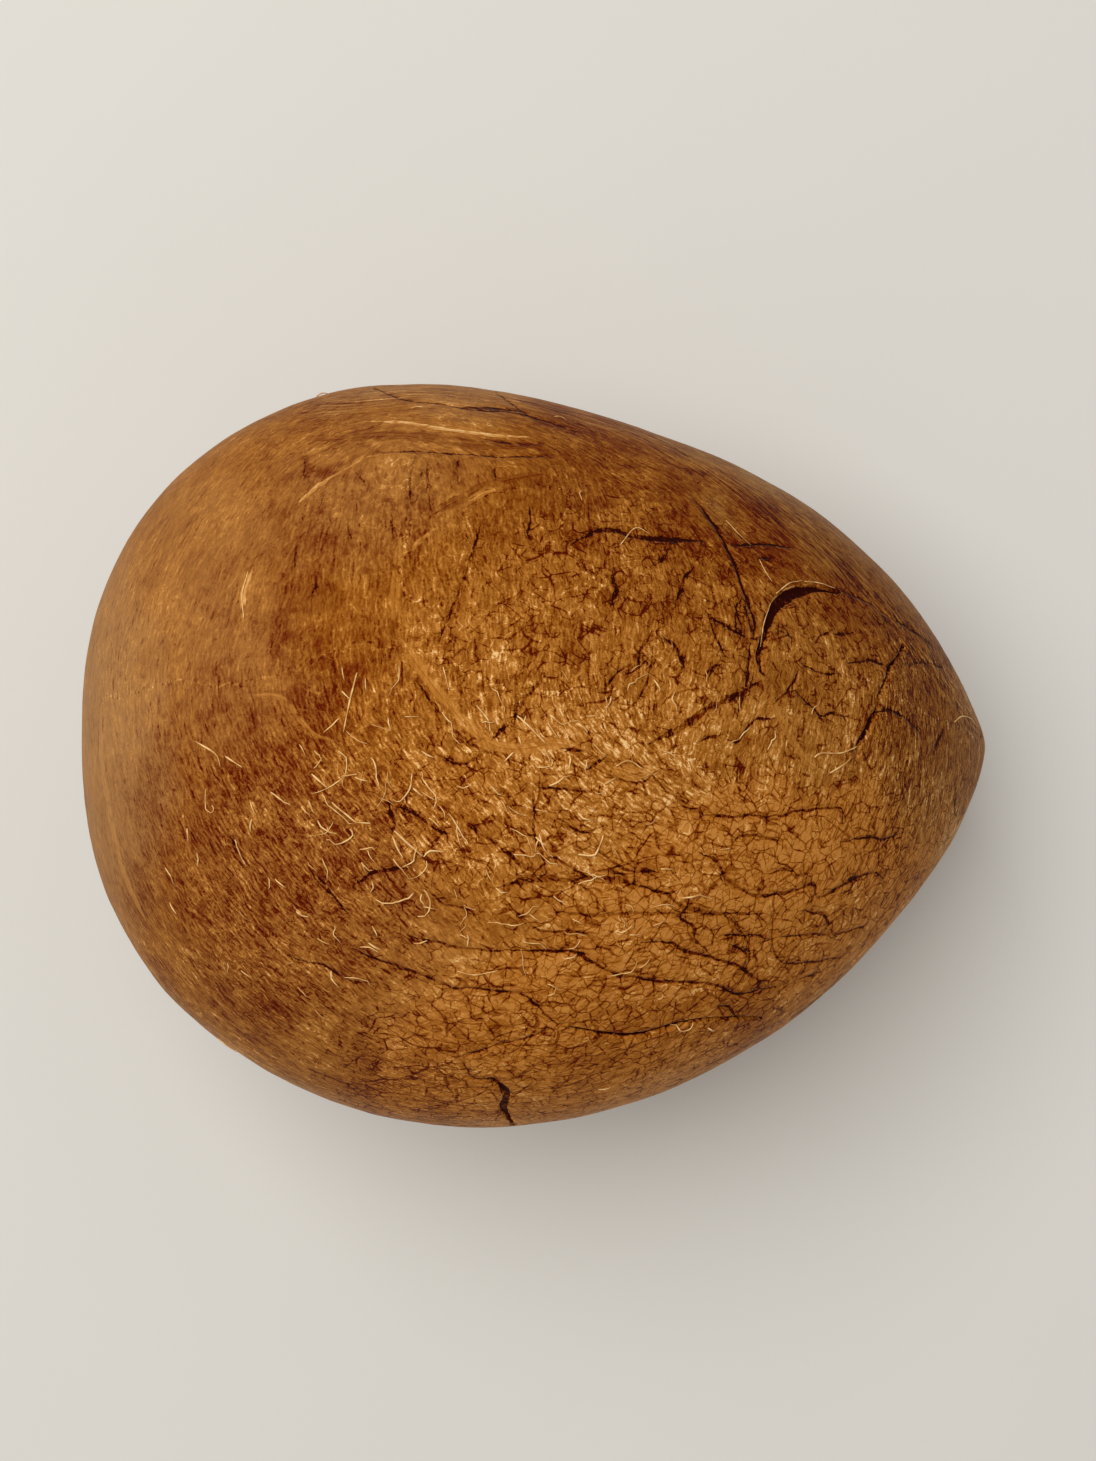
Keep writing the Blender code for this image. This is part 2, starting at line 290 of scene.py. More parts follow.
# Soft-edged places: (strength, x, y, half length, half width, turn in degrees if any). The tones are how
# much paler or darker the skin is than the mean tone; some of them are painted light and shade: the paler
# strips along the left and lower rims are painted rim light, and the darker band beyond the ridge and the
# dark tip are partly painted shade. They add up, as the lively places do, and of the others the strongest
# counts.
MEAN_TONE = 0.53
TONES_AND_LIGHTING = [
    (-0.03, 5, 17, 20, 12), (0.09, -4, -1, 24, 10, -20), (-0.23, -36, -13, 21, 16, -40),
    (-0.24, 28, 26, 28, 9, -36), (-0.15, 48, 3, 7, 13), (0.13, 20, -16, 26, 12), (-0.03, -44, 24, 20, 24),
    (-0.18, -29, 11, 4.5, 15), (-0.09, -18, 6, 9, 10), (-0.09, -4, 30, 22, 6, -5), (0.07, 33, -8, 9, 12),
    (0.12, -6, -30, 16, 8), (0.13, 5, -41, 22, 5), (-0.09, -40, 17.5, 3, 4), (-0.11, -34, 14, 3.5, 2.5),
    (-0.08, -42, 6.5, 3, 2.5), (-0.08, -30, 4.5, 3, 2.5), (-0.15, -17.5, 23, 2, 1.5),
    (-0.08, -18, 24, 6, 6), (-0.09, -22, 10, 8, 5), (-0.07, -8, 42, 24, 4), (0.09, 38, -20, 12, 7, 40),
    (0.05, 14, -20, 6, 4), (-0.07, 13, 20, 9, 4), (0.08, 9, 10, 5, 4), (0.08, 4, -1, 6, 4),
    (-0.06, 2, 7, 5, 4), (-0.05, -36, 12, 5, 6), (0.08, 15, -20, 10, 4), (0.06, -4, -31, 8, 5),
    (0.08, -27, -23, 6, 5), (-0.14, -27.2, 33.9, 1.6, 1.2), (-0.05, -30, 30, 8, 5, 30),
    (-0.12, -8, 27, 3, 4, 20), (-0.12, -33, -32, 2.2, 3.2, 20), (0.1, -30.5, -24, 3, 3),
    (-0.12, -22, -38, 2, 3, 30), (0.06, -15, 35.5, 7, 4), (0.08, 15, -28.5, 14, 5),
    (-0.18, 4, 38, 9, 4, -12), (-0.07, -28, 37, 9, 6, 30), (0.05, -50, -18, 5, 9, 20),
    (0.07, 4, -20, 9, 4), (0.05, 26, -10, 10, 5), (-0.06, -10, -20, 5, 4), (-0.05, -20, 10, 4, 12),
    (0.08, -46, 1, 4, 8), (-0.1, -32, 25, 6, 3.5), (0.11, 19, 4.5, 8, 4), (-0.14, 40.5, 4, 3, 4.5),
    (0.15, 45.5, -8.5, 3, 5), (-0.11, 38, -15.5, 5, 4), (0.09, 25, -14, 3.5, 8),
    (0.1, 9, 35.5, 9, 3, -12), (-0.07, 3, 32, 6, 4), (0.09, 21, 32, 4, 3, -30), (0.06, -10, 30, 3, 3),
    (0.07, 7, -19, 5, 4), (0.07, -6, -29, 9, 4), (-0.06, -15, -5, 3, 3), (-0.06, 10, -9, 4, 3),
    (0.06, 22, -14, 14, 12), (-0.02, -34, -20, 20, 16, -40), (0.09, -2, -44, 14, 4),
    (0.08, 18, -39, 12, 4, 18), (0.08, 36, -28, 10, 4, 38), (0.09, 49, -13, 8, 3, 60),
    (0.09, -52, -5, 3, 10), (-0.06, 2, 38, 5, 3, -6), (-0.09, 22, 24, 5, 4, -30), (0.09, -5, 25, 3, 3),
    (-0.08, -10, -10, 4, 3), (0.08, 17, -35, 6, 3, 15),
]
CRACKLED = [
    (0.93, 24, -25, 34, 24, 24), (0.62, 32, 8, 14, 14), (0.95, 6, -38, 36, 18, 8),
    (0.68, 8, 14, 21, 17), (0.72, 0, -8, 22, 14), (0.4, -20, -22, 18, 16),
]
LIVELY = [
    (0.25, -2, -4, 30, 12, -15), (-0.38, 14, -26, 42, 18, 8), (0.4, -30, -16, 17, 18),
    (0.8, 46, -2, 9, 20), (-0.35, -14, 34, 14, 7),
]
# The dusty places paint a dry bloom on the smooth skin, and along the left, top and upper right rims they
# also paint paler rim light.
DUST_AND_RIM_LIGHT = [
    (0.15, -48, 22, 20, 34, 20), (0.37, -57, 4, 14, 44), (0.28, -14, 46, 26, 8, -2),
    (0.34, 27, 36, 26, 8, -30), (0.10, -26, 31, 22, 12, 20),
]
WORN = [(1.0, 34, 29, 34, 8, -38), (0.8, 48, 3, 8, 16), (0.3, 36, 8, 14, 14)]
# Where hairs lie thickly, which adds up, and where there are next to none.
HAIRY = [(1.0, -8, -8, 26, 14, -20), (0.65, -27, -14, 17, 15), (0.45, 10, 2, 22, 9), (0.3, 2, -20, 22, 13)]
HAIRLESS = [(0.9, 24, 24, 20, 10, -30), (0.9, 32, -18, 14, 14)]

# ---- what a user may change --------------------------------------------------------------


def length_field(name, text, default):
    return FloatProperty(name=name, description=text, default=default, min=0.0, unit="LENGTH", precision=5)


def share_field(name, text, default):
    return FloatProperty(name=name, description=text, default=default, min=0.0, max=1.0, subtype="FACTOR")


def colour_field(name, text, default):
    return FloatVectorProperty(
        name=name, description=text, default=default, size=3, min=0.0, max=1.0, subtype="COLOR"
    )


class COCONUT_PG_skin(bpy.types.PropertyGroup):
    """Sizes and colours of the brown skin."""

    length: length_field("Length", "Length of the kernel along its axis", 110.0 * MM)
    lump_height: length_field("Lump Height", "How far the broad lumps rise and fall", 0.22 * MM)
    grain_height: length_field("Grain Height", "How far the small lumps rise and fall", 0.035 * MM)
    vein_depth: length_field("Vein Depth", "Depth of the grooves that the veins lie in", 0.12 * MM)
    rift_depth: length_field("Rift Depth", "Depth of the places where the skin has split", 0.5 * MM)
    lip_height: length_field("Lip Height", "Height of the lifted edge beside a split", 0.13 * MM)
    vein_width: share_field("Vein Width", "Width of the veins, as a share of their drawn width", 0.76)
    crack: colour_field("Crack", "Colour at the bottom of a crack", (0.022, 0.0018, 0.0008))
    dark: colour_field("Dark", "Colour of the darkest skin", (0.115, 0.008, 0.0003))
    rust: colour_field("Rust", "Colour of the red brown skin", (0.205, 0.053, 0.0034))
    brown: colour_field("Brown", "Colour of most of the skin", (0.305, 0.100, 0.0112))
    tan: colour_field("Tan", "Colour of the paler skin", (0.44, 0.165, 0.025))
    gold: colour_field("Gold", "Colour of the fibrous flakes", (0.60, 0.275, 0.070))
    cream: colour_field("Cream", "Colour of the palest fibre", (0.82, 0.50, 0.21))
    warm: colour_field("Warm", "Tint of the crackled skin", (1.0, 0.91, 0.76))
    worn: colour_field("Worn", "Colour that worn skin turns towards", (0.20, 0.13, 0.035))
    # The dust colour is the dry bloom's, and it is also mixed in along the rims as painted rim light.
    dust_and_rim_light: colour_field("Dust", "Colour of the dry bloom on smooth skin", (0.47, 0.29, 0.13))


class COCONUT_PG_fibres(bpy.types.PropertyGroup):
    """Sizes and colours of the hairs."""

    count: IntProperty(name="Hairs", description="Number of scattered hairs", default=680, min=0)
    shortest: length_field("Shortest", "Length of the shortest hair", 0.6 * MM)
    longest: length_field("Longest", "Length of the longest hair", 4.6 * MM)
    thinnest: length_field("Thinnest", "Thickness of the thinnest hair", 0.08 * MM)
    thickest: length_field("Thickest", "Thickness of the thickest hair", 0.22 * MM)
    pale: colour_field("Pale", "Colour of a dry hair", (0.92, 0.58, 0.23))
    golden: colour_field("Golden", "Colour of a hair that lies in the skin", (0.62, 0.30, 0.08))


class COCONUT_PG_stage(bpy.types.PropertyGroup):
    """The floor, the light and the camera."""

    floor_side: length_field("Floor", "Side of the square floor", 3.0)
    floor: colour_field("Floor Colour", "Colour of the floor", (0.70, 0.67, 0.61))
    key_side: length_field("Lamp Side", "Side of the square lamp", 0.6)
    key_power: FloatProperty(name="Lamp Power", description="Power of the lamp", default=5.9, unit="POWER")
    fill: share_field("Fill", "Strength of the light from all round", 0.45)
    lens: FloatProperty(
        name="Lens", description="Focal length of the camera", default=50.0, unit="CAMERA"
    )


# ---- shape -------------------------------------------------------------------------------


def flank_radius(flank, u):
    """Distance of one flank from the long axis at station u, in half lengths."""
    first, second, third = flank["swell"]
    swell = (first * u + second * u**2 + third * u**3) * (1.0 - u * u)
    return np.exp(flank["fullness"] + swell) * (1.0 + u) ** flank["blunt"] * (1.0 - u) ** flank["point"]


def kernel_points(directions, length):
    """The kernel's surface points for an array of unit directions, about the middle of its axis."""
    u = directions[:, 0].clip(-1.0, 1.0)
    angle = np.arctan2(directions[:, 2], directions[:, 1])
    left_share = 0.5 + 0.5 * np.cos(angle)
    radius = left_share * flank_radius(LEFT_FLANK, u) + (1.0 - left_share) * flank_radius(RIGHT_FLANK, u)
    radius *= 1.0 + RIDGE_RISE * np.cos(RIDGE_COUNT * (angle - FIRST_RIDGE))
    across, up = radius * np.cos(angle), radius * np.sin(angle) * HEIGHT_RATIO
    points = np.stack([u, across, up], axis=1) * length / 2
    tilt = np.array(Matrix.Rotation(REST_PITCH, 3, "Y"))
    return points @ tilt.T


def axis_middle(length):
    """Where the middle of the long axis lies once the kernel stands on its flat spot."""
    points = kernel_points(even_directions(grid_of(cube_grid(OUTLINE_CUTS))), length)
    low, high = points.min(axis=0), points.max(axis=0)
    cad_low, cad_high = (np.array(corner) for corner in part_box(NODE))
    centre = (cad_low + cad_high) / 2 - (low + high) / 2
    return Vector((centre[0], centre[1], cad_low[2] - low[2] - FLAT_DEPTH))


def cube_grid(cuts):
    """A cube cut into a fine grid, which the kernel's shape is wrapped on."""
    cube = bmesh.new()
    bmesh.ops.create_cube(cube, size=2.0)
    bmesh.ops.subdivide_edges(cube, edges=cube.edges[:], cuts=cuts, use_grid_fill=True)
    return cube


def grid_of(cube):
    return np.array([vert.co[:] for vert in cube.verts])


def even_directions(grid):
    """Evenly spread unit directions for points on the cube."""
    even = np.tan(grid * math.pi / 4)
    return even / np.linalg.norm(even, axis=1, keepdims=True)


def refine(cube, wrap, spots, reach, cuts):
    """Cuts the cube's faces finer wherever they come to lie within reach of the spots."""
    centres = wrap(np.array([face.calc_center_median()[:] for face in cube.faces]))
    tree = spot_tree(spots)
    for face, centre in zip(cube.faces, centres):
        face.tag = tree.find(centre)[2] < reach
    edges = [edge for edge in cube.edges if any(face.tag for face in edge.link_faces)]
    bmesh.ops.subdivide_edges(cube, edges=edges, cuts=cuts, use_grid_fill=True, use_single_edge=True)


def read(items, name, width=3):
    """One value of every vertex, edge, face or corner, as an array."""
    flat = np.empty(len(items) * width, np.int32 if name in WHOLE_VALUES else np.float32)
    items.foreach_get(name, flat)
    return flat.reshape(-1, width) if width > 1 else flat


def write_points(mesh, points):
    mesh.vertices.foreach_set("co", points.astype(np.float32).ravel())
    mesh.update()


def write_attribute(mesh, name, values):
    kind, field = ("FLOAT", "value") if values.ndim == 1 else ("FLOAT_VECTOR", "vector")
    mesh.attributes.new(name, kind, "POINT").data.foreach_set(field, values.astype(np.float32).ravel())


def lay_out_map(mesh, grid):
    """Gives the mesh a texture map with the six sides of the cube beside each other."""
    gap = 0.005
    corner = read(mesh.loops, "vertex_index", 1)
    starts, counts = read(mesh.polygons, "loop_start", 1), read(mesh.polygons, "loop_total", 1)
    centres = np.add.reduceat(grid[corner], starts) / counts[:, None]
    axis = np.abs(centres).argmax(axis=1)
    upper = np.take_along_axis(centres, axis[:, None], 1)[:, 0] > 0
    axis, upper = np.repeat(axis, counts), np.repeat(upper, counts)
    lengthwise = np.where(axis == 0, 2, 0)
    crosswise = np.where(axis == 1, 2, 1)
    across = np.take_along_axis(grid[corner], crosswise[:, None], 1)[:, 0] / 2 + 0.5
    along = np.take_along_axis(grid[corner], lengthwise[:, None], 1)[:, 0] / 2 + 0.5
    columns = (axis + gap + across * (1 - 2 * gap)) / 3
    rows = (upper + gap + along * (1 - 2 * gap)) / 2
    places = np.stack([columns, rows], axis=1)
    mesh.uv_layers.new(name="OFBake").uv.foreach_set("vector", places.astype(np.float32).ravel())


# ---- routes over the surface -------------------------------------------------------------


def smooth_route(points, step):
    """A Catmull-Rom curve through 2-D or 3-D points, sampled about every step."""
    points = [Vector(point) for point in points]
    ends = [2 * points[0] - points[1]] + points + [2 * points[-1] - points[-2]]
    route = []
    for a, b, c, d in zip(ends, ends[1:], ends[2:], ends[3:]):
        bend = 2 * a - 5 * b + 4 * c - d
        twist = 3 * b - a - 3 * c + d
        count = max(2, math.ceil((c - b).length / step))
        for t in (i / count for i in range(count)):
            route.append(0.5 * (2 * b + (c - a) * t + bend * t**2 + twist * t**3))
    route.append(points[-1])
    return route


class Surface:
    """A skin's shape, for laying things on it."""

    def __init__(self, points, faces, middle):
        self.tree = BVHTree.FromPolygons([Vector(point) for point in points], faces)
        self.middle = middle
        self.eye = middle + EYE

    def seen_at(self, x, y):
        """The surface point, and its normal, that the eye sees at a drawn point."""
        on_plane = self.middle + Vector((x, y, 0.0)) * MM
        ray = (on_plane - self.eye).normalized()
        point, normal, _, _ = self.tree.ray_cast(self.eye, ray)
        if point is None:
            point, normal, _, _ = self.tree.find_nearest(on_plane)
        return point, normal

    def nearest(self, place):
        point, normal, _, _ = self.tree.find_nearest(place)
        return point, normal

    def lay(self, drawn, step=0.2):
        """A smooth route over the surface through drawn points: places and normals."""
        return [self.seen_at(*flat) for flat in smooth_route(drawn, step)]

    def fill_in(self, route, step=0.2):
        """A route with more places along it."""
        places = smooth_route([place / MM for place, _ in route], step)
        return [self.nearest(place * MM) for place in places]

    def wander(self, place, way, length, turn, draw, step):
        """A route that wanders over the surface from a place: places and normals."""
        route = []
        for _ in range(max(4, round(length / step)) + 1):
            point, normal = self.nearest(place)
            route.append((point, normal))
            way = (way - normal * way.dot(normal)).normalized()
            way.rotate(Matrix.Rotation(turn + draw.choice(KINKS) * draw.random(), 3, normal))
            place = point + way * step
        return route


def spot_tree(spots):
    tree = KDTree(len(spots))
    for i, spot in enumerate(spots):
        tree.insert(spot, i)
    tree.balance()
    return tree


def tapered(count):
    """Shares of a route's full width, which thins out at both ends."""
    t = np.linspace(0.0, 1.0, count)
    return np.minimum(1.0, np.minimum(t, 1.0 - t) * 5.0 + 0.25)


def mark_routes(points, routes):
    """For each point, the nearest route: signed side distance, distance, half width and tone."""
    spots, sides, halves, tones = [], [], [], []
    for laid, half, tone in routes:
        places = np.array([place[:] for place, _ in laid])
        normals = np.array([normal[:] for _, normal in laid])
        side = np.cross(normals, np.gradient(places, axis=0))
        side /= np.linalg.norm(side, axis=1, keepdims=True) + 1e-12
        spots.append(places)
        sides.append(side)
        halves.append(np.broadcast_to(half, len(places)) * MM)
        tones.append(np.full(len(places), tone))
    spots, sides = np.concatenate(spots), np.concatenate(sides)
    halves, tones = np.concatenate(halves), np.concatenate(tones)
    tree = spot_tree(spots)
    found = [tree.find(point) for point in points]
    index = np.array([hit[1] for hit in found])
    near = np.array([hit[2] for hit in found])
    signed = np.einsum("ij,ij->i", points - spots[index], sides[index])
    return signed, near, halves[index], tones[index]


def write_marks(mesh, name, marks):
    for part, values in zip(("side", "near", "half", "tone"), marks):
        write_attribute(mesh, f"{name}_{part}", values)


# ---- zones -------------------------------------------------------------------------------


def seen_from_eye(points, middle):
    """Each point's place on the drawing plane, in mm, as the eye sees it."""
    eye = np.array(middle + EYE)
    depth = EYE.z / (eye[2] - points[:, 2])
    return ((points[:, :2] - eye[:2]) * depth[:, None] + eye[:2] - np.array(middle)[:2]) / MM


def local_axes(normals):
    """Lengthwise and hoopwise unit vectors in the surface at each point."""
    tilt = np.array(Matrix.Rotation(REST_PITCH, 3, "Y"))
    axis = tilt @ np.array([1.0, 0.0, 0.0])
    lengthwise = axis - normals * (normals @ axis)[:, None]
    lengthwise /= np.linalg.norm(lengthwise, axis=1, keepdims=True) + 1e-9
    return lengthwise, np.cross(normals, lengthwise)


def fleck_flow(points, normals, drawn):
    """The way the flecks lie at each point: as drawn above, and wandering elsewhere."""
    lengthwise, hoopwise = local_axes(normals)
    wander = math.pi / 2 + lumps(points, 22 * MM, 5, 2) * 1.1
    double = np.stack([np.cos(2 * wander), np.sin(2 * wander)], axis=1) * 0.08
    seen = ((normals[:, 2] + 0.6) / 0.9).clip(0.0, 1.0)
    for x, y, reach, turn in FLOW:
        way = np.array([math.cos(math.radians(turn)), math.sin(math.radians(turn)), 0.0])
        turned = np.arctan2(hoopwise @ way, lengthwise @ way)
        weight = seen * np.exp(-((drawn[:, 0] - x) ** 2 + (drawn[:, 1] - y) ** 2) / reach**2)
        double += np.stack([np.cos(2 * turned), np.sin(2 * turned)], axis=1) * weight[:, None]
    turned = np.arctan2(double[:, 1], double[:, 0]) / 2
    return lengthwise * np.cos(turned)[:, None] + hoopwise * np.sin(turned)[:, None]


def how_far(drawn, x, y, long, wide, turn):
    """Distance from the middle of an ellipse on the drawing plane, 1 on its edge."""
    c, s = math.cos(math.radians(turn)), math.sin(math.radians(turn))
    dx, dy = drawn[:, 0] - x, drawn[:, 1] - y
    return np.hypot((dx * c + dy * s) / long, (-dx * s + dy * c) / wide)


def blob(drawn, x, y, long, wide, turn=0.0):
    """1 inside a soft-edged ellipse on the drawing plane, 0 outside."""
    t = ((1.35 - how_far(drawn, x, y, long, wide, turn)) / 0.7).clip(0.0, 1.0)
    return t * t * (3.0 - 2.0 * t)


def haze(drawn, x, y, long, wide, turn=0.0):
    """1 at the middle of an ellipse on the drawing plane, falling slowly to 0 at its edge."""
    t = (1.0 - how_far(drawn, x, y, long, wide, turn)).clip(0.0, 1.0)
    return t * (2.0 - t)


def strongest(shape, drawn, places):
    """The strongest of several soft-edged places at each point."""
    return np.maximum.reduce([strength * shape(drawn, *place) for strength, *place in places])


def added(base, drawn, places):
    """The base with several soft-edged places added to it."""
    for strength, *place in places:
        base = base + strength * blob(drawn, *place)
    return base


def lumps(points, wide, seed, octaves=3):
    """Soft noise from -1 to 1 over the points, with lumps of about that size."""
    shift = Vector((seed * 7.1, seed * 3.7, seed * 1.3))
    return np.array([noise.fractal(Vector(p) / wide + shift, 1.0, 2.0, octaves) for p in points])


# ---- materials ---------------------------------------------------------------------------


class Finish:
    """A node material that is built up step by step."""

    def __init__(self, name):
        self.material = bpy.data.materials.new(name)
        self.material.use_nodes = True
        self.nodes = self.material.node_tree.nodes
        self.links = self.material.node_tree.links
        self.shader = self.nodes["Principled BSDF"]
        self.place = self.node("ShaderNodeTexCoord").outputs["Object"]

    def node(self, kind, settings=None, **inputs):
        made = self.nodes.new(kind)
        for name, value in (settings or {}).items():
            setattr(made, name, value)
        for name, value in inputs.items():
            self.feed(made.inputs[int(name[1:])] if name[0] == "_" else made.inputs[name], value)
        return made

    def feed(self, socket, value):
        if isinstance(value, bpy.types.NodeSocket):
            self.links.new(value, socket)
        else:
            socket.default_value = value

    def set(self, name, value):
        self.feed(self.shader.inputs[name], value)

    def math(self, operation, a, b=0.0, c=0.0):
        return self.node("ShaderNodeMath", {"operation": operation}, _0=a, _1=b, _2=c).outputs[0]

    def times(self, *values):
        total = values[0]
        for value in values[1:]:
            total = self.math("MULTIPLY", total, value)
        return total

    def plus(self, base, value, amount=1.0):
        """base + value * amount"""
        return self.math("MULTIPLY_ADD", value, amount, base)

    def sway(self, base, pattern, amount):
        """base + (pattern - 0.5) * amount, for a pattern that runs from 0 to 1"""
        return self.plus(base, self.math("SUBTRACT", pattern, 0.5), amount)

    def moved(self, vector, way, amount):
        """vector + way * amount"""
        settings = {"operation": "MULTIPLY_ADD"}
        made = self.node("ShaderNodeVectorMath", settings, _0=way, _1=(amount,) * 3, _2=vector)
        return made.outputs[0]

    def attribute(self, name):
        return self.node("ShaderNodeAttribute", {"attribute_name": name}).outputs["Fac"]

    def mix(self, share, a, b, blend_type="MIX"):
        settings = {"data_type": "RGBA", "blend_type": blend_type}
        return self.node("ShaderNodeMix", settings, _0=share, _6=a, _7=b).outputs[2]

    def blend(self, share, a, b):
        return self.node("ShaderNodeMix", {"data_type": "FLOAT"}, _0=share, _2=a, _3=b).outputs[0]

    def step(self, value, low, high, out_low=0.0, out_high=1.0):
        """A soft step from one level to another, while the value goes from low to high."""
        ends = {"_1": low, "_2": high, "_3": out_low, "_4": out_high}
        made = self.node("ShaderNodeMapRange", {"interpolation_type": "SMOOTHSTEP"}, _0=value, **ends)
        return made.outputs[0]

    def isoline(self, value, level, half):
        """1 along the thin line where the value crosses the level."""
        off = self.math("ABSOLUTE", self.math("SUBTRACT", value, level))
        return self.step(off, half, 0.4 * half)

    def noise_node(self, vector, wide, detail, rough=0.5):
        inputs = {"Vector": vector, "Scale": 1.0 / wide, "Detail": detail, "Roughness": rough}
        return self.node("ShaderNodeTexNoise", None, **inputs)

    def noise(self, vector, wide, detail=2.0, rough=0.5):
        return self.noise_node(vector, wide, detail, rough).outputs["Fac"]

    def shaken(self, vector, wide, amount, detail):
        """Coordinates pushed about by soft noise."""
        return self.moved(vector, self.noise_node(vector, wide, detail).outputs["Color"], amount)

    def streaks(self, vector, flow, wide, stride, count, detail=0.0):
        """Noise smeared along the flow: the mean of several samples a stride apart."""
        total = 0.0
        for i in range(count):
            sample = self.moved(vector, flow, (i - (count - 1) / 2) * stride)
            total = self.math("ADD", self.noise(sample, wide, detail), total)
        return self.math("DIVIDE", total, float(count))

    def net(self, vector, long, wide, turn, half):
        """1 along the edges of irregular cells of about that size, and a random tone for each cell."""
        scaled = self.node(
            "ShaderNodeMapping", {"vector_type": "TEXTURE"}, Vector=vector,
            Rotation=(0, 0, math.radians(turn)), Scale=(long, wide, wide),
        ).outputs[0]
        edge = self.node("ShaderNodeTexVoronoi", {"feature": "DISTANCE_TO_EDGE"}, Vector=scaled, Scale=1.0)
        cell = self.node("ShaderNodeTexVoronoi", {"feature": "F1"}, Vector=scaled, Scale=1.0)
        off = self.math("SUBTRACT", edge.outputs["Distance"], self.math("DIVIDE", half, wide))
        soft = 0.035 * MM / wide
        return self.step(off, soft, -soft), cell.outputs["Color"]

    def marked(self, name, ragged, wobble, soft):
        """How much of a drawn line covers the skin, its tone, and the distance to either side."""
        side, near = self.attribute(f"{name}_side"), self.attribute(f"{name}_near")
        off_line = self.math("ABSOLUTE", self.math("ADD", side, wobble))
        off = self.math("SUBTRACT", off_line, self.times(self.attribute(f"{name}_half"), ragged))
        beyond = self.math("SUBTRACT", near, self.math("ABSOLUTE", side))
        covered = self.times(self.step(off, soft, -soft), self.step(beyond, 0.6 * MM, 0.3 * MM))
        return covered, self.attribute(f"{name}_tone"), side


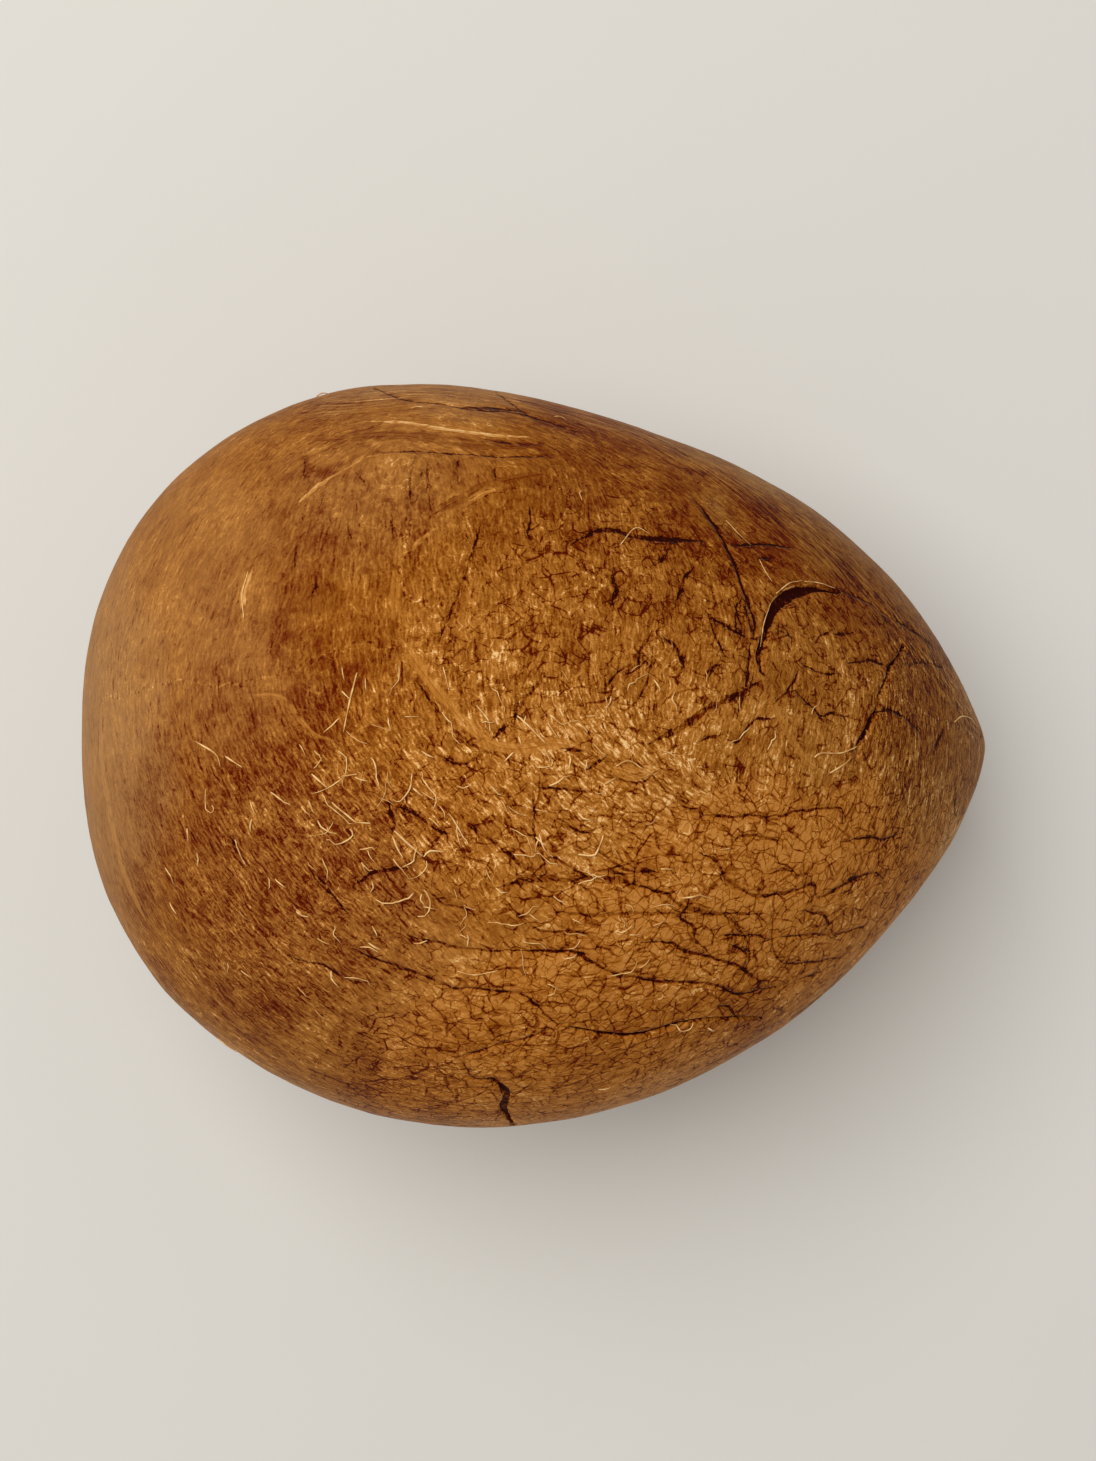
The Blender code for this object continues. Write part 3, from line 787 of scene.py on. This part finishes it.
class SkinFinish(Finish):
    """The skin's material, in layers that each take the tone so far: 0, black brown, to 1, cream."""

    def __init__(self, name):
        super().__init__(name)
        flow = self.node("ShaderNodeAttribute", {"attribute_name": "fleck_flow"}).outputs["Vector"]
        self.quiet = self.plus(1.0, self.attribute("smooth_zone"), -0.42)
        self.lively = self.times(self.quiet, self.attribute("lively_zone"))
        self.crackle = self.attribute("crackle_zone")
        self.wavy = self.shaken(self.place, 1.7 * MM, 1.1 * MM, 3.0)
        self.bent = self.shaken(self.place, 2.6 * MM, 1.1 * MM, 1.0)
        self.curled = self.shaken(self.place, 1.1 * MM, 0.45 * MM, 1.0)
        self.fine = self.streaks(self.wavy, flow, 0.25 * MM, 0.20 * MM, 4, 1.0)
        self.dash = self.streaks(self.wavy, flow, 0.60 * MM, 0.45 * MM, 5)
        self.thin = self.streaks(self.curled, flow, 0.34 * MM, 0.28 * MM, 6)
        self.broad = self.noise(self.place, 6 * MM, 3, 0.6)
        self.patch = self.noise(self.wavy, 1.9 * MM, 2, 0.6)
        self.torn = self.noise(self.bent, 1.5 * MM, 1)
        self.wobble = self.plus(-0.2 * MM, self.noise(self.place, 0.9 * MM, 2, 0.6), 0.4 * MM)

    def mottled_ground(self):
        """The bare skin: patches, flecks that lie along the flow, and dashes."""
        # the zone's tone holds painted light and shade as well: paler rims, and a darker band beyond the
        # ridge and at the tip
        tone = self.sway(self.attribute("tone_and_lighting_zone"), self.broad, 0.35)
        tone = self.sway(tone, self.patch, self.times(self.quiet, 0.45))
        tone = self.sway(tone, self.step(self.fine, 0.40, 0.60), self.times(self.lively, 0.30))
        tone = self.plus(tone, self.step(self.fine, 0.55, 0.63), self.times(self.lively, 0.10))
        return self.sway(tone, self.dash, self.times(self.quiet, 0.7))

    def crack_net(self, opening, crackle_share, shut, wide_open, half, cells):
        """A net of cracks, which open with the crackle and with a noise: the net and its cells."""
        opened = self.step(self.plus(opening, self.crackle, crackle_share), shut, wide_open)
        return self.net(*cells, self.plus(-0.05 * MM, opened, half))

    def fine_cracks(self, tone):
        """Nets of cracks in three sizes, over flakes of unlike tone and short thin streaks."""
        broken = self.noise(self.place, 2.2 * MM, 1)
        crumbled = self.noise(self.curled, 1.3 * MM, 1)
        big_cells = (self.bent, 3.9 * MM, 2.7 * MM, 5)
        cells = (self.bent, 2.1 * MM, 1.4 * MM, -35)
        small_cells = (self.curled, 1.15 * MM, 0.8 * MM, 50)
        coarse, big_flake = self.crack_net(broken, 0.40, 0.66, 1.0, 0.15 * MM, big_cells)
        middling, flake = self.crack_net(self.torn, 0.40, 0.62, 0.92, 0.11 * MM, cells)
        smallest, speck = self.crack_net(crumbled, 0.32, 0.55, 0.85, 0.09 * MM, small_cells)
        tone = self.sway(tone, big_flake, self.times(self.crackle, 0.06))
        tone = self.sway(tone, flake, self.times(self.quiet, 0.10))
        tone = self.sway(tone, speck, self.times(self.quiet, 0.20))
        tone = self.plus(tone, self.step(self.thin, 0.43, 0.37), self.times(self.lively, -0.32))
        tone = self.plus(tone, self.step(self.thin, 0.57, 0.62), self.times(self.lively, 0.21))
        # crackled skin has no cream in it, and the darkest ground is held back from black
        tone = self.math("MINIMUM", tone, self.step(self.crackle, 0.7, 0.88, 1.1, 0.80))
        tone = self.math("MAXIMUM", tone, self.plus(0.11, tone, 0.6))
        tone = self.plus(tone, smallest, -0.28)
        tone = self.plus(tone, middling, -0.37)
        return self.math("MAXIMUM", self.plus(tone, coarse, -0.36), 0.08)

    def pale_curls(self, tone):
        """Short curled lines of paler skin."""
        curl = self.isoline(self.noise(self.wavy, 1.5 * MM, 1), 0.5, 0.022)
        return self.plus(tone, self.times(curl, self.quiet, self.step(self.broad, 0.46, 0.6)), 0.22)

    def fibre_bands(self, tone):
        """Bands of flattened fibre, with strands along them and frayed edges."""
        frayed = self.plus(0.4, self.noise(self.place, 1.1 * MM, 2), 1.2)
        band, band_tone, side = self.marked("band", frayed, self.wobble, 0.08 * MM)
        across = self.math("DIVIDE", side, 0.2 * MM)
        strands = self.node("ShaderNodeTexNoise", {"noise_dimensions": "1D"}, W=across, Scale=1.0)
        band_tone = self.sway(band_tone, strands.outputs["Fac"], 0.7)
        band_tone = self.sway(band_tone, self.fine, 0.7)
        return self.blend(self.times(band, self.step(self.torn, 0.30, 0.46), 0.8), tone, band_tone)

    def ridge_streaks(self, tone):
        """Streaks that run along the ridge."""
        ridge = self.attribute("ridge_zone")
        sideways = self.node("ShaderNodeCombineXYZ", None, X=self.attribute("ridge_side")).outputs[0]
        streak = self.noise(self.moved(sideways, self.bent, 0.2), 0.42 * MM, 3, 0.6)
        tone = self.sway(tone, self.step(streak, 0.36, 0.64), self.times(ridge, 0.42))
        return self.plus(tone, self.step(streak, 0.58, 0.70), self.times(ridge, 0.2))

    def dark_veins(self, tone):
        """The veins, each in a slightly darker strip of skin: the tone, and where the veins are."""
        ragged = self.plus(-0.1, self.noise(self.place, 1.3 * MM, 2), 2.2)
        kinked = self.plus(-0.4 * MM, self.noise(self.place, 1.4 * MM, 3, 0.6), 0.8 * MM)
        vein, darkness, _ = self.marked("vein", ragged, kinked, 0.04 * MM)
        halo = self.step(self.attribute("vein_near"), 0.8 * MM, 0.1 * MM)
        tone = self.plus(tone, halo, -0.08)
        broken = self.step(self.torn, 0.3, 0.5, 0.5, 1.0)
        return self.plus(tone, self.times(vein, darkness, broken), -0.57), vein

    def splits(self, tone):
        """The splits, with a pale lip along the edge that has lifted."""
        ragged = self.plus(0.6, self.noise(self.place, 0.8 * MM, 2), 0.8)
        rift, lifted, side = self.marked("rift", ragged, self.times(self.wobble, 0.5), 0.05 * MM)
        half, near = self.attribute("rift_half"), self.attribute("rift_near")
        off = self.math("SUBTRACT", self.math("SUBTRACT", side, half), 0.16 * MM)
        off = self.math("ABSOLUTE", self.plus(off, self.wobble, 0.7))
        lip = self.step(off, 0.11 * MM, 0.04 * MM)
        lip = self.times(lip, lifted, self.step(half, 0.12 * MM, 0.35 * MM))
        lip = self.times(lip, self.step(near, 1.3 * MM, 0.9 * MM), self.step(self.torn, 0.42, 0.54))
        depth = self.times(rift, self.step(self.fine, 0.62, 0.38, 0.55, 1.1))
        tone = self.plus(tone, depth, -0.80)
        lip = self.times(lip, self.math("SUBTRACT", 1.0, rift))
        return self.blend(lip, tone, self.plus(0.55, self.fine, 0.6))

    def colour(self, tone, skin):
        """The colour for each tone, tinted where the skin is crackled, worn or dusty, and paler at the
        rims, where the dust colour is mixed in as painted rim light.
        """
        stops = [(0.0, skin.crack), (0.14, skin.dark), (0.30, skin.rust), (0.50, skin.brown),
                 (0.70, skin.tan), (0.86, skin.gold), (1.0, skin.cream)]
        ramp = self.node("ShaderNodeValToRGB", None, Fac=tone)
        elements = ramp.color_ramp.elements
        for i, (position, colour_there) in enumerate(stops):
            element = elements[i] if i < 2 else elements.new(position)
            element.position = position
            element.color = (*colour_there, 1)
        warm_share = self.step(self.crackle, 0.65, 0.95)
        warmed = self.mix(warm_share, ramp.outputs["Color"], (*skin.warm, 1), "MULTIPLY")
        raised = self.step(tone, 0.05, 0.45)
        worn_share = self.times(raised, self.attribute("worn_zone"), 0.22)
        worn = self.mix(worn_share, warmed, (*skin.worn, 1))
        # the dust colour is mixed in for the dry bloom and, along the rims, as painted rim light
        return self.mix(self.times(raised, self.attribute("dust_and_rim_light_zone")), worn, (*skin.dust_and_rim_light, 1))


def skin_finish(skin):
    finish = SkinFinish("brown_skin")
    tone = finish.mottled_ground()
    tone = finish.fine_cracks(tone)
    tone = finish.pale_curls(tone)
    tone = finish.fibre_bands(tone)
    tone = finish.ridge_streaks(tone)
    tone, vein = finish.dark_veins(tone)
    tone = finish.splits(tone)
    finish.set("Base Color", finish.colour(tone, skin))
    finish.set("Roughness", finish.plus(0.5, finish.patch, 0.25))
    finish.set("IOR", 1.1)
    finish.set("Specular Tint", (1.0, 0.7, 0.38, 1))
    finish.set("Sheen Weight", 0.12)
    finish.set("Sheen Roughness", 0.25)
    finish.set("Sheen Tint", (1.0, 0.7, 0.42, 1))
    height = finish.plus(finish.times(finish.patch, 0.5), finish.dash, 1.5)
    height = finish.plus(height, vein, -0.6)
    bump = finish.node("ShaderNodeBump", None, Strength=0.6, Distance=0.2 * MM, Height=height)
    finish.set("Normal", bump.outputs[0])
    return finish.material


def fibre_finish(fibres):
    finish = Finish("pale_fibre")
    worn = finish.step(finish.noise(finish.place, 1.2 * MM, 2), 0.38, 0.62)
    finish.set("Base Color", finish.mix(worn, (*fibres.pale, 1), (*fibres.golden, 1)))
    finish.set("Roughness", 0.5)
    finish.set("IOR", 1.25)
    return finish.material


def floor_finish(stage):
    finish = Finish("floor")
    dim = tuple(value * 0.97 for value in stage.floor)
    patches = finish.noise(finish.place, 50 * MM, 3)
    finish.set("Base Color", finish.mix(patches, (*dim, 1), (*stage.floor, 1)))
    finish.set("Roughness", 0.8)
    return finish.material


# ---- pieces ------------------------------------------------------------------------------


def link(name, data):
    made = bpy.data.objects.new(name, data)
    bpy.context.scene.collection.objects.link(made)
    return made


def ride_on_kernel(piece):
    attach(piece, BODY)
    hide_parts(NODE)


def random_way(draw):
    return Vector((draw.gauss(0, 1), draw.gauss(0, 1), draw.gauss(0, 1)))


def hidden_veins(surface, draw, count):
    """Veins that wander over the sides and the underside: routes, widths in mm and darkness."""
    start_below = surface.middle.z + 6 * MM
    stay_below = start_below + 6 * MM
    step = 0.5 * MM
    routes = []
    while len(routes) < count:
        outside = random_way(draw).normalized() * 50 * MM
        place, normal = surface.nearest(surface.middle + outside)
        if place.z > start_below:
            continue
        start = normal.cross(random_way(draw))
        long = draw.uniform(3.0, 15.0) * MM
        route = surface.wander(place, start, long, draw.gauss(0.0, 0.03), draw, step)
        if max(spot.z for spot, _ in route) > stay_below:
            continue
        routes.append((surface.fill_in(route), draw.uniform(0.25, 0.6), draw.uniform(0.55, 1.0)))
        if draw.random() < 0.6:
            fork, normal = route[len(route) // 2]
            aside = route[len(route) // 2 + 1][0] - fork
            aside.rotate(Matrix.Rotation(draw.choice((-0.8, 0.8)), 3, normal))
            branch = surface.wander(fork, aside, long * 0.4, 0.0, draw, step)
            routes.append((surface.fill_in(branch), 0.3, draw.uniform(0.5, 0.9)))
    return routes


def laid_lines(surface, lines):
    """Drawn lines laid on the surface: routes, widths in mm and tones."""
    return [(surface.lay(drawn), width, tone) for width, tone, drawn in lines]


def thinned(routes, share=1.0):
    """The routes with half widths in place of widths, which thin out at both ends."""
    return [(laid, tapered(len(laid)) * width * share / 2, tone) for laid, width, tone in routes]


def laid_rifts(surface):
    """The splits laid on the surface: routes, half widths in mm and how far their edges lift."""
    rifts = []
    for lifted, drawn in RIFTS:
        laid = surface.lay([flat for _, flat in drawn])
        stations = np.linspace(0, len(drawn) - 1, len(laid))
        half = np.interp(stations, range(len(drawn)), [width / 2 for width, _ in drawn])
        rifts.append((laid, half, lifted))
    return rifts


def spots_of(routes):
    return [place for laid, _, _ in routes for place, _ in laid]


def softened(drawn, points):
    """Drawn places shifted a little by broad noise, so that no zone has a plain outline."""
    return drawn + lumps(points, 9 * MM, 1)[:, None] * 3.0


def skin_zones(mesh, points, normals, middle, ridge_near):
    """Writes where the skin is smooth, lively, crackled, dusty, pale or dark, with painted light and shade
    among them: paler rims and a darker band beyond the ridge.
    """
    drawn = seen_from_eye(points, middle)
    soft = softened(drawn, points)
    wide_lumps = lumps(points, 24 * MM, 6, 2)
    upward = normals[:, 2]
    hidden = ((0.25 - upward) / 0.4).clip(0.0, 1.0)

    along_ridge = 0.75 * np.exp(-((ridge_near / (6 * MM)) ** 2))
    smooth = np.maximum(haze(soft, -44, 24, 26, 34, 20), along_ridge)
    smooth = np.maximum(smooth, haze(soft, -56, -6, 16, 30)) * (1.0 - 0.8 * blob(soft, 49, 0, 10, 18))
    smooth = np.maximum(smooth * (1 - hidden), hidden * (wide_lumps * 1.6).clip(0.0, 0.8))
    crackle = strongest(blob, soft, CRACKLED)
    crackle = np.maximum(crackle * (1 - hidden), hidden * (0.4 - wide_lumps).clip(0.2, 1.0))
    # painted rim light: the flanks, where the surface turns from facing up to facing sideways, are mixed
    # towards the pale dust colour, less so near the tip
    painted_rim_light = ((0.55 - upward) / 0.35).clip(0.0, 1.0) * ((upward + 0.5) / 0.4).clip(0.0, 1.0)
    dust_and_rim_light = np.maximum(strongest(haze, soft, DUST_AND_RIM_LIGHT), 0.06 * blob(soft, -32, -20, 22, 18, -40))
    dust_and_rim_light = np.maximum(dust_and_rim_light, 0.17 * painted_rim_light * (1.0 - 0.6 * blob(soft, 42, 16, 14, 12)))

    write_attribute(mesh, "smooth_zone", smooth)
    write_attribute(mesh, "crackle_zone", crackle)
    write_attribute(mesh, "lively_zone", added(1.0, soft, LIVELY))
    write_attribute(mesh, "dust_and_rim_light_zone", dust_and_rim_light)
    write_attribute(mesh, "worn_zone", strongest(blob, soft, WORN))
    write_attribute(mesh, "tone_and_lighting_zone", added(MEAN_TONE, soft, TONES_AND_LIGHTING))
    write_attribute(mesh, "ridge_zone", np.exp(-((ridge_near / (4.2 * MM)) ** 2)))
    write_attribute(mesh, "fleck_flow", fleck_flow(points, normals, drawn))


def relief(points, skin, vein_marks, rift_marks):
    """How far the skin stands out at each point: lumps, vein grooves, splits and lifted edges."""
    _, near, half, tone = vein_marks
    side, rift_near, rift_half, lifted = rift_marks
    rise = lumps(points, 12 * MM, 2, 2) * skin.lump_height
    rise += lumps(points, 2.5 * MM, 3, 2) * skin.grain_height
    rise -= skin.vein_depth * tone * np.exp(-((near / (half + 0.2 * MM)) ** 2))
    rise -= skin.rift_depth * np.exp(-((rift_near / (rift_half + 0.12 * MM)) ** 4))
    lip = np.exp(-(((side - rift_half - 0.3 * MM) / (0.28 * MM)) ** 2)) * (rift_near < 1.6 * MM)
    lip *= (rift_half / (0.45 * MM)).clip(0.0, 1.0)
    return rise + skin.lip_height * lifted * lip * (1.0 + 1.2 * lumps(points, 1.1 * MM, 8, 1))


def build_skin(skin):
    cube = cube_grid(SKIN_CUTS)
    middle = axis_middle(skin.length)

    def wrap(grid):
        return kernel_points(even_directions(grid), skin.length) + np.array(middle)

    faces = [[vert.index for vert in face.verts] for face in cube.faces]
    surface = Surface(wrap(grid_of(cube)), faces, middle)
    veins = laid_lines(surface, VEINS) + hidden_veins(surface, random.Random(VEIN_SEED), HIDDEN_VEINS)
    veins = thinned(veins, skin.vein_width)
    rifts = laid_rifts(surface)
    refine(cube, wrap, spots_of(veins + rifts), MARK_REACH, 2)
    refine(cube, wrap, spots_of(rifts), RIFT_REACH, 1)

    mesh = bpy.data.meshes.new("kernel_skin")
    cube.to_mesh(mesh)
    cube.free()
    grid = read(mesh.vertices, "co").astype(np.float64)
    lay_out_map(mesh, grid)
    points = wrap(grid)
    write_points(mesh, points)
    mesh.shade_smooth()
    normals = read(mesh.vertex_normals, "vector").astype(np.float64)

    vein_marks = mark_routes(points, veins)
    rift_marks = mark_routes(points, rifts)
    band_marks = mark_routes(points, thinned(laid_lines(surface, BANDS)))
    ridge_side, ridge_near, _, _ = mark_routes(points, [(surface.lay(RIDGE), 1.0, 1.0)])
    for name, marks in (("vein", vein_marks), ("rift", rift_marks), ("band", band_marks)):
        write_marks(mesh, name, marks)
    write_attribute(mesh, "ridge_side", ridge_side)
    skin_zones(mesh, points, normals, middle, ridge_near)

    points = points + normals * relief(points, skin, vein_marks, rift_marks)[:, None]
    points[:, 2] = points[:, 2].clip(0.0, None)
    write_points(mesh, points)
    mesh.materials.append(skin_finish(skin))
    ride_on_kernel(link("kernel_skin", mesh))


def hair_density(points, normals, middle):
    """How thickly the scattered hairs stand at each point."""
    soft = softened(seen_from_eye(points, middle), points)
    density = added(0.025, soft, HAIRY) + 0.25 * (normals[:, 2] < -0.1)
    return density * (1.0 - strongest(blob, soft, HAIRLESS))


def scattered_hair(surface, fibres, place, normal, flow, draw):
    """A hair that wanders off roughly along the flow: thickness in mm and places, or nothing."""
    way = Vector(flow)
    way.rotate(Matrix.Rotation(draw.gauss(0.0, 0.45), 3, Vector(normal)))
    long = fibres.shortest + (fibres.longest - fibres.shortest) * draw.random() ** 2.2
    thick = draw.uniform(fibres.thinnest, fibres.thickest) / MM
    lift = draw.uniform(0.0, 0.22)
    line = surface.wander(Vector(place), way, long, draw.gauss(0.0, 0.07), draw, 0.35 * MM)
    if min(spot.z for spot, _ in line) < 0.5 * MM:
        return None
    rise = [0.03 + lift * math.sin(math.pi * i / (len(line) - 1)) for i in range(len(line))]
    return thick, [spot + out * up * MM for (spot, out), up in zip(line, rise)]


def build_fibres(fibres, middle):
    mesh = bpy.data.objects["kernel_skin"].data
    points = read(mesh.vertices, "co").astype(np.float64)
    normals = read(mesh.vertex_normals, "vector").astype(np.float64)
    flow = read(mesh.attributes["fleck_flow"].data, "vector")
    surface = Surface(points, [face.vertices[:] for face in mesh.polygons], middle)
    hairs = []
    for thick, drawn in FIBRES:
        hairs.append((thick, [place + normal * 0.08 * MM for place, normal in surface.lay(drawn, 0.5)]))
    chance = np.cumsum(hair_density(points, normals, middle) * vertex_areas(mesh))
    draw = random.Random(HAIR_SEED)
    for _ in range(fibres.count):
        index = int(np.searchsorted(chance, draw.random() * chance[-1]))
        hair = scattered_hair(surface, fibres, points[index], normals[index], flow[index], draw)
        if hair:
            hairs.append(hair)
    link_fibres(hairs, fibres)


def vertex_areas(mesh):
    """The skin's area round each vertex."""
    area = np.zeros(len(mesh.vertices))
    face_area = read(mesh.polygons, "area", 1)
    counts = read(mesh.polygons, "loop_total", 1)
    np.add.at(area, read(mesh.loops, "vertex_index", 1), np.repeat(face_area / counts, counts))
    return area


def link_fibres(hairs, fibres):
    """Makes the hairs closed tubes that thin out towards both ends, all in one piece."""
    curve = bpy.data.curves.new("pale_fibres", "CURVE")
    curve.dimensions = "3D"
    curve.bevel_depth = MM / 2
    curve.bevel_resolution = 0
    curve.use_fill_caps = True
    for thick, line in hairs:
        spline = curve.splines.new("POLY")
        spline.points.add(len(line) - 1)
        for i, place in enumerate(line):
            t = i / (len(line) - 1)
            spline.points[i].co = (*place, 1.0)
            spline.points[i].radius = thick * (0.35 + 0.65 * math.sin(math.pi * min(0.85, 0.15 + t)))
    lines = link("fibre_lines", curve)
    graph = bpy.context.evaluated_depsgraph_get()
    tubes = bmesh.new()
    tubes.from_mesh(bpy.data.meshes.new_from_object(lines.evaluated_get(graph)))
    bmesh.ops.remove_doubles(tubes, verts=tubes.verts, dist=0.001 * MM)
    bpy.data.objects.remove(lines)
    mesh = bpy.data.meshes.new("pale_fibres")
    tubes.to_mesh(mesh)
    tubes.free()
    mesh.materials.append(fibre_finish(fibres))
    mesh.shade_smooth()
    ride_on_kernel(link("pale_fibres", mesh))


def aimed(place, target):
    """The matrix of a lamp at a place that shines at a target."""
    turn = (target - place).to_track_quat("-Z", "Y")
    return Matrix.LocRotScale(place, turn, None)


def build_stage(stage, middle):
    scene = bpy.context.scene
    scene.view_settings.view_transform = "Standard"
    grid = bmesh.new()
    bmesh.ops.create_grid(grid, x_segments=1, y_segments=1, size=stage.floor_side / 2)
    mesh = bpy.data.meshes.new("floor")
    grid.to_mesh(mesh)
    grid.free()
    mesh.materials.append(floor_finish(stage))
    link("floor", mesh)

    lamp = bpy.data.lights.new("key", "AREA")
    lamp.size = stage.key_side
    lamp.energy = stage.key_power
    lamp_place, lamp_target = Vector((-0.25, 0.2, 0.8)), Vector((0.0, 0.0, 0.04))
    link("key", lamp).matrix_world = aimed(lamp_place, lamp_target)

    world = bpy.data.worlds.new("soft_room")
    world.use_nodes = True
    background = world.node_tree.nodes["Background"]
    background.inputs["Color"].default_value = (0.85, 0.85, 0.85, 1)
    background.inputs["Strength"].default_value = stage.fill
    scene.world = world

    camera = bpy.data.cameras.new("camera")
    camera.lens = stage.lens
    held = link("camera", camera)
    held.location = middle + EYE
    scene.camera = held


# ---- operators and panel -----------------------------------------------------------------


class COCONUT_OT_skin(bpy.types.Operator):
    """Build the brown skin, with its cracks, veins and splits"""

    bl_idname = "coconut.skin"
    bl_label = "Brown Skin"
    bl_options = {"REGISTER", "UNDO"}

    def execute(self, context):
        build_skin(context.scene.coconut_skin)
        return {"FINISHED"}


class COCONUT_OT_fibres(bpy.types.Operator):
    """Lay the pale hairs on the skin, which is built first"""

    bl_idname = "coconut.fibres"
    bl_label = "Pale Fibres"
    bl_options = {"REGISTER", "UNDO"}

    def execute(self, context):
        build_fibres(context.scene.coconut_fibres, axis_middle(context.scene.coconut_skin.length))
        return {"FINISHED"}


class COCONUT_OT_stage(bpy.types.Operator):
    """Set the floor, the light and the camera round the coconut"""

    bl_idname = "coconut.stage"
    bl_label = "Stage"
    bl_options = {"REGISTER", "UNDO"}

    def execute(self, context):
        build_stage(context.scene.coconut_stage, axis_middle(context.scene.coconut_skin.length))
        return {"FINISHED"}


class COCONUT_PT_panel(bpy.types.Panel):
    """The coconut's pieces and their settings"""

    bl_label = "Coconut"
    bl_idname = "COCONUT_PT_panel"
    bl_space_type = "VIEW_3D"
    bl_region_type = "UI"
    bl_category = "Coconut"

    def draw(self, context):
        for operator, name in STEPS:
            box = self.layout.box()
            box.operator(operator.bl_idname)
            settings = getattr(context.scene, name)
            for field in type(settings).__annotations__:
                box.prop(settings, field)


STEPS = (
    (COCONUT_OT_skin, "coconut_skin"),
    (COCONUT_OT_fibres, "coconut_fibres"),
    (COCONUT_OT_stage, "coconut_stage"),
)
SETTINGS = (COCONUT_PG_skin, COCONUT_PG_fibres, COCONUT_PG_stage)
CLASSES = (*SETTINGS, *(operator for operator, _ in STEPS), COCONUT_PT_panel)


def register():
    for each in CLASSES:
        bpy.utils.register_class(each)
    for settings, (_, name) in zip(SETTINGS, STEPS):
        setattr(bpy.types.Scene, name, PointerProperty(type=settings))


def unregister():
    for _, name in STEPS:
        delattr(bpy.types.Scene, name)
    for each in reversed(CLASSES):
        bpy.utils.unregister_class(each)


def main():
    register()
    bpy.ops.coconut.skin()
    bpy.ops.coconut.fibres()
    bpy.ops.coconut.stage()


if __name__ == "__main__":
    main()
